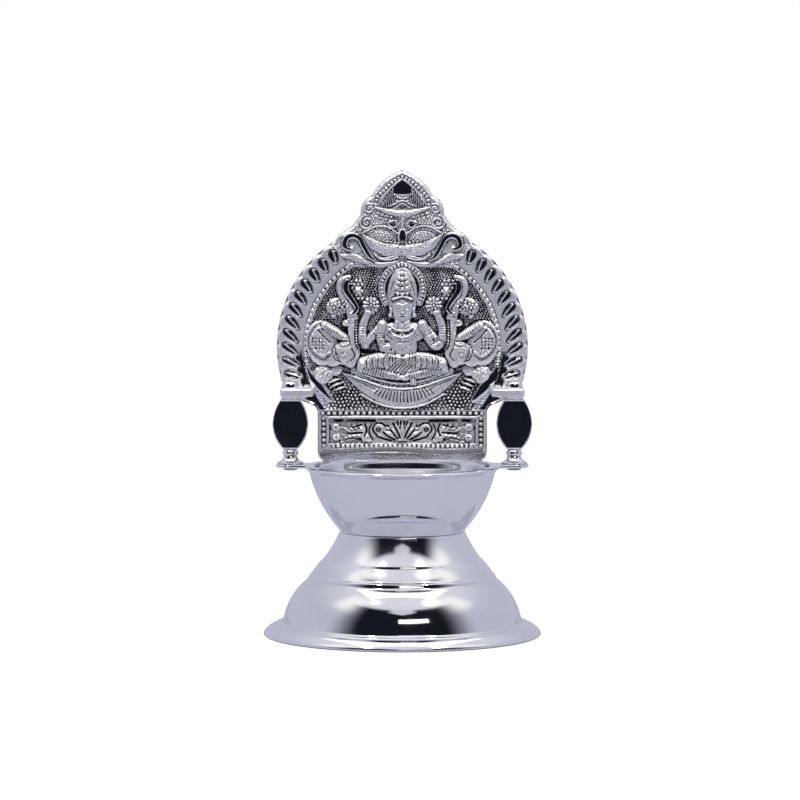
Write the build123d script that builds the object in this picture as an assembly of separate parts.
from build123d import *
import os
from math import asin, atan2, cos, degrees, hypot, radians, sin

# Small silver oil lamp for a home shrine, in millimetres.
# +Z is up, the struck plate faces -Y, the origin is the middle of the foot on the table.

# Sheet and fits
sheet = 0.8
rod_clearance = 0.1
stud_clearance = 0.2
thread_clearance = 0.05

# Pedestal, from its waist down and out to the foot
waist_radius = 13.7
edge_roll = 0.5
neck_height = 5.5
neck_flare = 3.3
neck_hollow = 0.7
collar_step = 0.4
collar_step_drop = 0.3
collar_height = 2.9
collar_spread = 2.2
collar_bulge = 0.4
band_step_drop = 0.1
band_height = 1.0
band_spread = 0.3
dome_height = 8.7
dome_spread = 5.0
dome_bulge = 1.0
skirt_height = 2.7
skirt_spread = 4.3
skirt_bulge = 0.7
hem_width = 3.0

# Oil bowl
bowl_depth = 11.8
bowl_spread = 6.2
bowl_bulge = 0.8
flare_height = 1.1
flare_spread = 0.7
flare_hollow = 0.12
lip_overhang = 0.4
ear_radius = 3.1
ear_reach = 3.2
ear_back = 4.0

# Stud, washer and nut that draw the bowl down on the pedestal
stud_head_radius = 5.0
stud_radius = 2.0
stud_end = 1.5
washer_radius = 8.0
washer_thickness = 0.8
clamp_nut_flats = 7.0
clamp_nut_height = 3.2

# Pillars
foot_height = 1.6
foot_radius = 2.9
foot_top_radius = 1.5
foot_hollow = 0.25
bead_height = 1.5
bead_end_radius = 1.4
bead_bulge = 0.35
barrel_lower = 5.4
barrel_upper = 5.5
barrel_radius = 3.84
barrel_bottom_radius = 1.4
barrel_top_radius = 2.0
barrel_half_depth = 1.6
barrel_edge_round = 0.8
cap_height = 0.7
cap_radius = 2.1

# Tie rods and their nuts
rod_radius = 0.8
rod_nut_radius = 1.5
rod_nut_height = 0.6
rod_nut_round = 0.3
dome_nut_radius = 1.8
dome_nut_skirt = 0.7
dome_nut_rise = 1.1

# Struck plate and its back sheet
plate_setback = 9.0
plate_edge = 1.8
plate_skin = 0.7
back_thickness = 0.6
panel_inset = 2.6
panel_corner = 2.0
wing_root_drop = 3.9
wing_fillet_width = 1.6
wing_fillet_rise = 1.7
wing_fillet_hollow = 0.4
arch_rise = 10.2
arch_overhang = 3.07
arch_end_angle = 57.3
tip_rise = 38.4
lobe_half_width = 11.4
lobe_drop = 12.6
lobe_bulge = 0.35
notch_half_width = 9.0
notch_drop = 9.4
notch_hollow = 0.2
volute_half_width = 6.6
volute_drop = 5.5
volute_bulge = 0.75
ogive_bulge = 0.85
pocket_margin = 1.5

# Shelves by which the plate stands on the pillars
shelf_thickness = 1.6
shelf_nose = 3.0
shelf_inner = 5.0
shelf_outer = 2.2
shelf_round = 1.2

# Rope arch: slanted lobes along the edge of the plate
rope_lobes = 11
rope_inset = 2.4
rope_start_angle = -14.4
rope_end_angle = 52.8
rope_run = 2.7
rope_half_width = 1.2
rope_rise = 1.0
rope_slant = 25.0
band_inset = 5.6
band_half_width = 0.45
band_rise = 0.35

# Relief figures: places across from the middle and up from the arch centre, straight runs
relief_bed = 0.4
head_up = 8.9
head_run = 1.0
head_half_width = 2.35
head_rise = 2.0
tall_crown_up = 13.5
tall_crown_run = 2.2
tall_crown_half_width = 2.3
tall_crown_rise = 1.7
halo_up = 13.0
halo_radius = 4.9
halo_half_width = 0.6
halo_rise = 0.5
halo_start_angle = -38.0
torso_up = 0.2
torso_run = 5.0
torso_half_width = 3.2
torso_rise = 1.9
arm_across = 4.9
arm_up = 2.6
arm_run = 4.0
arm_half_width = 1.2
arm_rise = 1.1
arm_turn = 38.0
hand_across = 7.0
hand_up = 4.8
hand_run = 5.4
hand_half_width = 0.9
hand_rise = 0.85
bud_up = 9.8
bud_radius = 1.6
bud_rise = 1.3
knee_across = 4.6
knee_up = -5.2
knee_run = 4.6
knee_half_width = 1.9
knee_rise = 1.8
knee_turn = 96.0
seat_half_width = 12.2
seat_tip_up = -5.5
seat_bottom_up = -13.2
seat_top_sag = 2.6
seat_rise = 1.0
elephant_across = 17.1
elephant_up = 0.4
elephant_run = 2.6
elephant_half_width = 3.4
elephant_rise = 1.6
elephant_turn = -12.0
elephant_head_across = 12.4
elephant_head_up = -1.8
elephant_head_run = 1.2
elephant_head_half_width = 2.4
elephant_head_rise = 1.9
trunk_across = 11.0
trunk_up = 4.4
trunk_run = 6.2
trunk_half_width = 0.95
trunk_rise = 0.9
trunk_turn = 6.0
curl_run = 4.4
curl_half_width = 0.8
curl_rise = 0.75
curl_turn = -24.0
pot_radius = 1.4
pot_rise = 1.2
pot_lift = 1.3
leg_across = 16.2
leg_up = -6.2
leg_run = 2.8
leg_half_width = 1.1
leg_rise = 1.0
leg_turn = -35.0
mask_up = 25.6
mask_run = 4.6
mask_half_width = 3.6
mask_rise = 1.1
eye_across = 2.0
eye_up = 27.2
eye_radius = 0.95
eye_rise = 1.7
jaw_centre_up = 28.2
jaw_radius = 8.8
jaw_half_width = 1.1
jaw_rise = 1.0
jaw_sweep = 144.0
leaf_up = 33.4
leaf_run = 1.6
leaf_half_width = 2.9
leaf_rise = 1.0
scroll_across = 10.5
scroll_up = 20.9
scroll_radius = 1.7
scroll_half_width = 0.7
scroll_rise = 0.6

# Base panel with its frame, fan of petals and scrolls
frame_margin = 0.6
frame_bottom = 1.3
frame_width = 0.9
frame_rise = 0.5
petals = 5
petal_spread = 150.0
petal_root_rise = 4.0
petal_reach = 3.0
petal_run = 2.0
petal_half_width = 0.6
petal_rise = 0.55
panel_scrolls = 2
panel_scroll_start = 8.0
panel_scroll_pitch = 5.4
panel_scroll_radius = 1.8
panel_scroll_half_width = 0.55
panel_scroll_rise = 0.5

# Heights and places that follow from the sizes above
dome_foot_z = edge_roll + skirt_height
dome_top_z = dome_foot_z + dome_height
band_foot_z = dome_top_z + collar_step_drop
band_top_z = band_foot_z + band_height
collar_foot_z = band_top_z + band_step_drop
collar_top_z = collar_foot_z + collar_height
neck_foot_z = collar_top_z + collar_step_drop
waist_z = neck_foot_z + neck_height
seat_z = waist_z + edge_roll

neck_foot_radius = waist_radius + neck_flare
collar_top_radius = neck_foot_radius + collar_step
collar_foot_radius = collar_top_radius + collar_spread
band_top_radius = collar_foot_radius + collar_step
band_foot_radius = band_top_radius + band_spread
dome_top_radius = band_foot_radius + collar_step
dome_foot_radius = dome_top_radius + dome_spread
base_radius = dome_foot_radius + skirt_spread

bowl_shoulder_z = seat_z + edge_roll + bowl_depth
lip_under = bowl_shoulder_z + flare_height
lip_top = lip_under + sheet
bowl_shoulder_radius = waist_radius + bowl_spread
mouth_radius = bowl_shoulder_radius + flare_spread
lip_radius = mouth_radius + lip_overhang

pillar_across = lip_radius + ear_reach
bead_foot_z = lip_top + foot_height
barrel_foot_z = bead_foot_z + bead_height
barrel_wide_z = barrel_foot_z + barrel_lower
cap_foot_z = barrel_wide_z + barrel_upper
shelf_under = cap_foot_z + cap_height
shelf_top = shelf_under + shelf_thickness

plate_back = plate_setback + plate_edge
panel_half_width = lip_radius - panel_inset
arch_radius = pillar_across + arch_overhang
arch_z = shelf_under + arch_rise
wing_root_z = shelf_under - wing_root_drop
tip_z = arch_z + tip_rise
rod_hole_radius = rod_radius + rod_clearance
sides = {"left": -1, "right": 1}


def spun(line):
    """Solid of revolution between a profile line and the axis."""
    low = line @ 0
    high = line @ 1
    closing = Polyline((high.X, high.Y), (0, high.Y), (0, low.Y), (low.X, low.Y))
    return revolve(Plane.XZ * make_face(line + closing), Axis.Z)


def disc(radius, bottom, top):
    """Round disc about the Z axis between two heights."""
    return Pos(0, 0, bottom) * extrude(Circle(radius), top - bottom)


def turned(line, bore):
    """Turned piece about the Z axis with a bore right through it."""
    low = (line @ 0).Y
    high = (line @ 1).Y
    return spun(line) - disc(bore, low, high)


def tangent_arc(wide, end, outward):
    """Arc from the widest point, where it runs upright, to a narrower end."""
    inset = wide[0] - end[0]
    radius = (inset**2 + (end[1] - wide[1]) ** 2) / (2 * inset)
    return RadiusArc(wide, end, outward * radius)


def upright(face, front, back):
    """Slab of a face drawn in X and Z, between two depths along Y."""
    return extrude(Plane.XZ.offset(-back) * face, back - front)


def pedestal_line():
    """Outer profile of the pedestal from the foot's edge up to the seat of the bowl."""
    foot = CenterArc((base_radius - edge_roll, edge_roll), edge_roll, -90, 90)
    dome_foot = (dome_foot_radius, dome_foot_z)
    dome_top = (dome_top_radius, dome_top_z)
    band_foot = (band_foot_radius, band_foot_z)
    band_top = (band_top_radius, band_top_z)
    collar_foot = (collar_foot_radius, collar_foot_z)
    collar_top = (collar_top_radius, collar_top_z)
    neck_foot = (neck_foot_radius, neck_foot_z)
    return Curve() + [
        foot,
        SagittaArc(foot @ 1, dome_foot, -skirt_bulge),
        SagittaArc(dome_foot, dome_top, -dome_bulge),
        Polyline(dome_top, band_foot, band_top, collar_foot),
        SagittaArc(collar_foot, collar_top, -collar_bulge),
        Line(collar_top, neck_foot),
        SagittaArc(neck_foot, (waist_radius, waist_z), neck_hollow),
        CenterArc((waist_radius - edge_roll, waist_z), edge_roll, 0, 90),
    ]


def pedestal():
    """Spun sheet foot with a hem that rests on the table and a web that seats the bowl."""
    line = pedestal_line()
    hem = disc(base_radius - edge_roll, 0, sheet) - disc(base_radius - hem_width, 0, sheet)
    web_hole = disc(stud_head_radius + stud_clearance, seat_z - sheet, seat_z)
    return spun(line) - spun(Pos(-sheet, -sheet) * line) + hem - web_hole


def bowl_line():
    """Outer profile of the bowl from the edge of its floor up to the lip."""
    roll = CenterArc((waist_radius - edge_roll, seat_z + edge_roll), edge_roll, -90, 90)
    shoulder = (bowl_shoulder_radius, bowl_shoulder_z)
    return Curve() + [
        roll,
        SagittaArc(roll @ 1, shoulder, -bowl_bulge),
        SagittaArc(shoulder, (mouth_radius, lip_under), flare_hollow),
    ]


def oil_bowl():
    """Spun bowl with a flat lip and an ear on each side for a pillar."""
    line = bowl_line()
    bowl = spun(line) + disc(lip_radius, lip_under, lip_top)
    reach = hypot(pillar_across, ear_back)
    turn = degrees(atan2(ear_back, pillar_across))
    tongue = Pos((reach + mouth_radius) / 2, 0) * Rectangle(reach - mouth_radius, 2 * ear_radius)
    ear = Rot(0, 0, turn) * (tongue + Pos(reach, 0) * Circle(ear_radius))
    ear = Pos(0, 0, lip_under) * extrude(ear, sheet)
    bowl = bowl + [ear, mirror(ear, about=Plane.YZ)] - spun(Pos(-sheet, sheet) * line)
    for side in sides.values():
        bowl -= Pos(side * pillar_across, ear_back) * disc(rod_hole_radius, lip_under, lip_top)
    return bowl


def bowl_stud():
    """Stud with a flat head that is soldered under the bowl's floor."""
    shank_length = washer_thickness + clamp_nut_height + stud_end
    head = disc(stud_head_radius, seat_z - sheet, seat_z)
    return head + disc(stud_radius, seat_z - sheet - shank_length, seat_z - sheet)


def clamp_washer():
    """Washer that bears on the underside of the pedestal's web."""
    top = seat_z - sheet
    bottom = top - washer_thickness
    bore = stud_radius + stud_clearance
    return disc(washer_radius, bottom, top) - disc(bore, bottom, top)


def clamp_nut():
    """Six-sided nut on the stud."""
    top = seat_z - sheet - washer_thickness
    bottom = top - clamp_nut_height
    blank = extrude(RegularPolygon(clamp_nut_flats / 2, 6, major_radius=False), clamp_nut_height)
    return Pos(0, 0, bottom) * blank - disc(stud_radius + thread_clearance, bottom, top)


def pillar_foot():
    """Flared foot that stands on the ear."""
    low = (foot_radius, lip_top)
    return turned(SagittaArc(low, (foot_top_radius, bead_foot_z), foot_hollow), rod_hole_radius)


def pillar_bead():
    """Small rounded bead between foot and barrel."""
    low = (bead_end_radius, bead_foot_z)
    high = (bead_end_radius, barrel_foot_z)
    return turned(SagittaArc(low, high, -bead_bulge), rod_hole_radius)


def pillar_barrel():
    """Flat-faced barrel, widest below the middle, with its front and back edges rounded."""
    wide = (barrel_radius, barrel_wide_z)
    lower = tangent_arc(wide, (barrel_bottom_radius, barrel_foot_z), 1)
    upper = tangent_arc(wide, (barrel_top_radius, cap_foot_z), -1)
    ends = Polyline((barrel_bottom_radius, barrel_foot_z), (0, barrel_foot_z))
    ends += Polyline((0, barrel_foot_z), (0, cap_foot_z), (barrel_top_radius, cap_foot_z))
    half = upright(make_face(lower + upper + ends), -barrel_half_depth, barrel_half_depth)
    blank = half + mirror(half, about=Plane.YZ)
    blank = fillet(blank.edges().filter_by(GeomType.CIRCLE), barrel_edge_round)
    return blank - disc(rod_hole_radius, barrel_foot_z, cap_foot_z)


def pillar_cap():
    """Flat ring between the barrel and the shelf."""
    return disc(cap_radius, cap_foot_z, shelf_under) - disc(rod_hole_radius, cap_foot_z, shelf_under)


def tie_rod():
    """Thin rod that holds ear, pillar and shelf together."""
    return disc(rod_radius, lip_under - rod_nut_height, shelf_top + dome_nut_skirt)


def rod_nut():
    """Low round nut under the ear, flush with the end of its rod."""
    bottom = lip_under - rod_nut_height
    blank = disc(rod_nut_radius, bottom, lip_under)
    blank = fillet(blank.edges().sort_by(Axis.Z)[0], rod_nut_round)
    return blank - disc(rod_radius + thread_clearance, bottom, lip_under)


def dome_nut():
    """Round nut with a closed dome on top of the shelf."""
    dome_foot = shelf_top + dome_nut_skirt
    radius = (dome_nut_radius**2 + dome_nut_rise**2) / (2 * dome_nut_rise)
    ball = Pos(0, 0, dome_foot + dome_nut_rise - radius) * Sphere(radius)
    blank = disc(dome_nut_radius, shelf_top, dome_foot + dome_nut_rise) & ball
    blank += disc(dome_nut_radius, shelf_top, dome_foot)
    return blank - disc(rod_radius + thread_clearance, shelf_top, dome_foot)


def half_outline():
    """Right half of the plate's outline, in X and Z."""
    panel_low = (panel_half_width - panel_corner, lip_top)
    corner_centre = (panel_half_width - panel_corner, lip_top + panel_corner)
    corner = CenterArc(corner_centre, panel_corner, -90, 90)
    wing_root = (panel_half_width, wing_root_z)
    wing_under = (panel_half_width + wing_fillet_width, wing_root_z + wing_fillet_rise)
    arch_start = -degrees(asin(arch_rise / arch_radius))
    arch = CenterArc((0, arch_z), arch_radius, arch_start, arch_end_angle - arch_start)
    lobe = (lobe_half_width, tip_z - lobe_drop)
    notch = (notch_half_width, tip_z - notch_drop)
    volute = (volute_half_width, tip_z - volute_drop)
    tip = (0, tip_z)
    return make_face(
        Curve()
        + [
            Polyline(tip, (0, lip_top), panel_low),
            corner,
            Line(corner @ 1, wing_root),
            SagittaArc(wing_root, wing_under, wing_fillet_hollow),
            Line(wing_under, arch @ 0),
            arch,
            SagittaArc(arch @ 1, lobe, -lobe_bulge),
            SagittaArc(lobe, notch, notch_hollow),
            SagittaArc(notch, volute, -volute_bulge),
            SagittaArc(volute, tip, -ogive_bulge),
        ]
    )


def on_field(across, up, sunk=0.0):
    """Plane on the plate's field, its X across, its Y up, its Z out to the front."""
    return Plane((across, plate_setback + sunk, arch_z + up), x_dir=(1, 0, 0), z_dir=(0, -1, 0))


def mound(across, up, run, half_width, rise, turn=0.0):
    """Low round-ended ridge on the field, its straight run turned left of upright."""
    radius = (half_width**2 + rise**2) / (2 * rise)
    middle = run / 2
    edge = Curve() + [
        CenterArc((0, -middle), radius, -90, 90),
        Line((radius, -middle), (radius, middle)),
        CenterArc((0, middle), radius, 0, 90),
        Line((0, middle + radius), (0, -middle - radius)),
    ]
    ridge = Pos(0, 0, rise - radius) * revolve(make_face(edge), Axis.Y)
    keep = Box(2 * radius, run + 2 * radius, rise + relief_bed)
    ridge &= Pos(0, 0, (rise - relief_bed) / 2) * keep
    return on_field(across, up) * Rot(0, 0, turn) * ridge


def knob(across, up, radius, rise):
    """Low round cap on the field."""
    ball_radius = (radius**2 + rise**2) / (2 * rise)
    ball = Pos(0, 0, rise - ball_radius) * Rot(90, 0, 0) * Sphere(ball_radius)
    keep = Box(2 * ball_radius, 2 * ball_radius, rise + relief_bed)
    ball &= Pos(0, 0, (rise - relief_bed) / 2) * keep
    return on_field(across, up) * ball


def hoop(across, up, radius, half_width, rise, start_angle=0.0, sweep=360.0):
    """Round-topped ring on the field, or a sweep of one from its start angle."""
    inner = (radius - half_width, 0)
    outer = (radius + half_width, 0)
    walls = Polyline(inner, (inner[0], -relief_bed), (outer[0], -relief_bed), outer)
    section = make_face(walls + ThreePointArc(outer, (radius, rise), inner))
    body = revolve(Plane.XZ * section, Axis.Z, revolution_arc=sweep)
    return on_field(across, up) * Rot(0, 0, start_angle) * body


def rope():
    """Lobes of the rope arch, each slanted with its inner end lower."""
    lobes = []
    centre_radius = arch_radius - rope_inset
    step = (rope_end_angle - rope_start_angle) / (rope_lobes - 1)
    for count in range(rope_lobes):
        angle = rope_start_angle + count * step
        across = centre_radius * cos(radians(angle))
        up = centre_radius * sin(radians(angle))
        turn = angle - 90 + rope_slant
        lobes.append(mound(across, up, rope_run, rope_half_width, rope_rise, turn))
    sweep = rope_end_angle - rope_start_angle
    band_radius = arch_radius - band_inset
    lobes.append(hoop(0, 0, band_radius, band_half_width, band_rise, rope_start_angle, sweep))
    return lobes


def limbs():
    """Right arm, raised hand with its bud, knee and half halo of the seated figure."""
    half_halo = 90 - halo_start_angle
    return [
        mound(arm_across, arm_up, arm_run, arm_half_width, arm_rise, arm_turn),
        mound(hand_across, hand_up, hand_run, hand_half_width, hand_rise),
        knob(hand_across, bud_up, bud_radius, bud_rise),
        mound(knee_across, knee_up, knee_run, knee_half_width, knee_rise, knee_turn),
        hoop(0, halo_up, halo_radius, halo_half_width, halo_rise, halo_start_angle, half_halo),
    ]


def figure():
    """Head, tall crown and body of the seated figure."""
    return [
        mound(0, head_up, head_run, head_half_width, head_rise),
        mound(0, tall_crown_up, tall_crown_run, tall_crown_half_width, tall_crown_rise),
        mound(0, torso_up, torso_run, torso_half_width, torso_rise),
    ]


def lotus_seat():
    """Crescent seat, its tips turned up."""
    tip = (seat_half_width, arch_z + seat_tip_up)
    bottom = (0, arch_z + seat_bottom_up)
    top = (0, arch_z + seat_tip_up - seat_top_sag)
    lower = ThreePointArc((-tip[0], tip[1]), bottom, tip)
    upper = ThreePointArc(tip, top, (-tip[0], tip[1]))
    return upright(make_face(lower + upper), plate_setback - seat_rise, plate_setback + relief_bed)


def elephant():
    """Elephant at the right side, facing the middle with its trunk raised."""
    body = (elephant_across, elephant_up, elephant_run, elephant_half_width)
    head = (elephant_head_across, elephant_head_up, elephant_head_run, elephant_head_half_width)
    trunk_middle = Vector(trunk_across, trunk_up)
    trunk_top = trunk_middle + Vector(0, trunk_run / 2).rotate(Axis.Z, trunk_turn)
    curl_half = Vector(0, curl_run / 2).rotate(Axis.Z, curl_turn)
    curl_middle = trunk_top + curl_half
    curl_top = curl_middle + curl_half
    return [
        mound(*body, elephant_rise, elephant_turn),
        mound(*head, elephant_head_rise),
        mound(trunk_across, trunk_up, trunk_run, trunk_half_width, trunk_rise, trunk_turn),
        mound(curl_middle.X, curl_middle.Y, curl_run, curl_half_width, curl_rise, curl_turn),
        knob(curl_top.X, curl_top.Y + pot_lift, pot_radius, pot_rise),
        mound(leg_across, leg_up, leg_run, leg_half_width, leg_rise, leg_turn),
    ]


def lion_mask():
    """Lion mask and leaf that crown the arch."""
    flat = 90
    jaw_start = -90 - jaw_sweep / 2
    return [
        mound(0, mask_up, mask_run, mask_half_width, mask_rise, flat),
        hoop(0, jaw_centre_up, jaw_radius, jaw_half_width, jaw_rise, jaw_start, jaw_sweep),
        mound(0, leaf_up, leaf_run, leaf_half_width, leaf_rise),
        knob(eye_across, eye_up, eye_radius, eye_rise),
        knob(-eye_across, eye_up, eye_radius, eye_rise),
    ]


def petal_fan():
    """Petals that fan out in the middle of the base panel."""
    fan = []
    root_up = lip_top + petal_root_rise - arch_z
    for count in range(petals):
        turn = petal_spread * (count / (petals - 1) - 0.5)
        across = -petal_reach * sin(radians(turn))
        up = root_up + petal_reach * cos(radians(turn))
        fan.append(mound(across, up, petal_run, petal_half_width, petal_rise, turn))
    return fan


def scrolls():
    """Right scrolls of the base panel and of the lion mask."""
    rings = [hoop(scroll_across, scroll_up, scroll_radius, scroll_half_width, scroll_rise)]
    panel_up = (lip_top + frame_bottom + wing_root_z) / 2 - arch_z
    ring_sizes = (panel_scroll_radius, panel_scroll_half_width, panel_scroll_rise)
    for count in range(panel_scrolls):
        across = panel_scroll_start + count * panel_scroll_pitch
        rings.append(hoop(across, panel_up, *ring_sizes))
    return rings


def panel_frame():
    """Raised frame of the base panel."""
    half_width = panel_half_width - frame_margin
    low = lip_top + frame_bottom
    height = wing_root_z - low
    middle = Pos(0, low + height / 2)
    border = middle * Rectangle(2 * half_width, height)
    border -= middle * Rectangle(2 * (half_width - frame_width), height - 2 * frame_width)
    return upright(border, plate_setback - frame_rise, plate_setback + relief_bed)


def shelf():
    """Right shelf with the hole for the tie rod."""
    width = shelf_inner + shelf_outer
    depth = plate_setback + plate_skin - (ear_back - shelf_nose)
    middle = (
        pillar_across + (shelf_outer - shelf_inner) / 2,
        plate_setback + plate_skin - depth / 2,
    )
    blank = Pos(*middle, shelf_under) * extrude(Rectangle(width, depth), shelf_thickness)
    nose = blank.edges().filter_by(Axis.Z).sort_by(Axis.Y)[:2]
    blank = fillet(nose, shelf_round)
    return blank - Pos(pillar_across, ear_back) * disc(rod_hole_radius, shelf_under, shelf_top)


def front_plate():
    """Struck plate with its relief, hollow behind, and the two shelves."""
    pocket_radius = hypot(panel_half_width - pocket_margin, arch_z - wing_root_z)
    pocket = extrude(Circle(pocket_radius), plate_edge - plate_skin)
    half = upright(half_outline(), plate_setback, plate_back)
    half -= on_field(0, 0, plate_edge) * pocket
    half += rope() + limbs() + elephant() + scrolls() + [shelf()]
    plate = half + mirror(half, about=Plane.YZ)
    return plate + figure() + lion_mask() + petal_fan() + [lotus_seat(), panel_frame()]


def back_sheet():
    """Flat sheet that closes the back of the struck plate."""
    half = upright(half_outline(), plate_back, plate_back + back_thickness)
    return half + mirror(half, about=Plane.YZ)


middle_pieces = [pedestal, oil_bowl, bowl_stud, clamp_washer, clamp_nut, front_plate, back_sheet]
side_pieces = [
    pillar_foot,
    pillar_bead,
    pillar_barrel,
    pillar_cap,
    tie_rod,
    rod_nut,
    dome_nut,
]

os.makedirs("parts", exist_ok=True)
for make in middle_pieces:
    export_step(make(), f"parts/{make.__name__}.step")
for side_name, side in sides.items():
    for make in side_pieces:
        piece = Pos(side * pillar_across, ear_back) * make()
        export_step(piece, f"parts/{side_name}_{make.__name__}.step")
